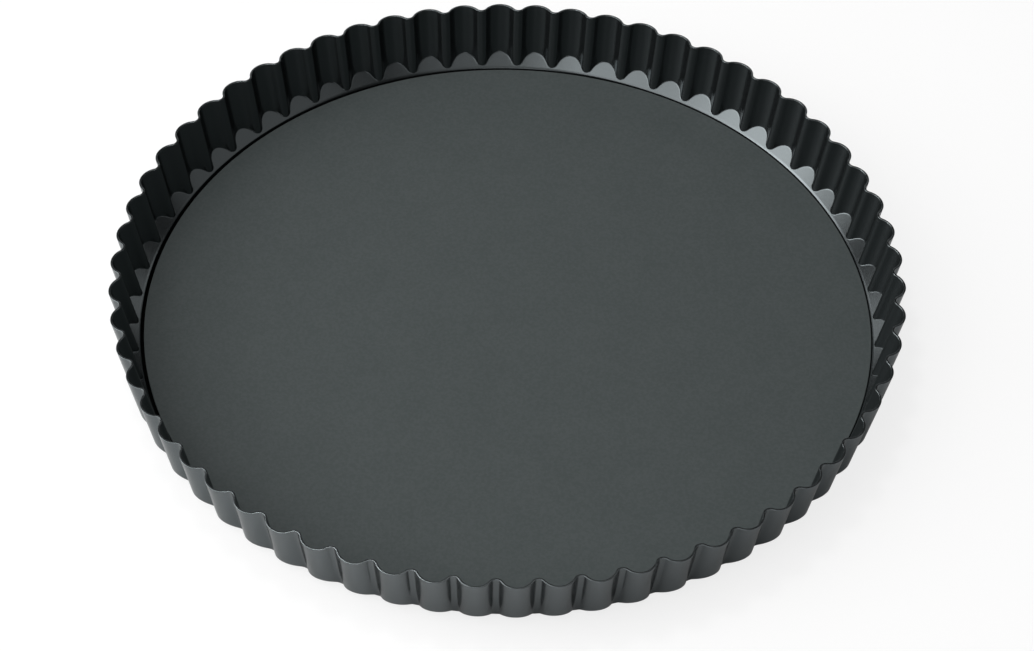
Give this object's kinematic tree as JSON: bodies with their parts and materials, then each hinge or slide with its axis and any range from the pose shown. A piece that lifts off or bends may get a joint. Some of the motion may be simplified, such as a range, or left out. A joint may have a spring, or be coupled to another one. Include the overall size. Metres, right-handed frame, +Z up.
{
  "type": "loose-bottom fluted tart tin",
  "caption": "Round shallow baking tin with an upright fluted wall, scalloped bevels at its foot and a flat loose base that lies in a stepped seat and lifts out with the bake.",
  "frame": {"origin": "centre of the ring, on the surface that the tin stands on", "axes": "+Z up along the ring's axis, +X through the crest of a flute"},
  "size_m": [0.3, 0.2996, 0.028],
  "materials": {
    "ring_coat": "satin dark grey non-stick coat on pressed steel sheet",
    "base_coat": "satin dark grey non-stick coat on flat steel sheet"
  },
  "bodies": {
    "ring": {"fluted_ring": "ring_coat"},
    "base": {"loose_base": "base_coat"}
  },
  "joints": [
    {"name": "base_lift", "type": "slide", "parent": "ring", "child": "base", "axis": [0, 0, 1], "range_m": [0, 0.06]}
  ]
}
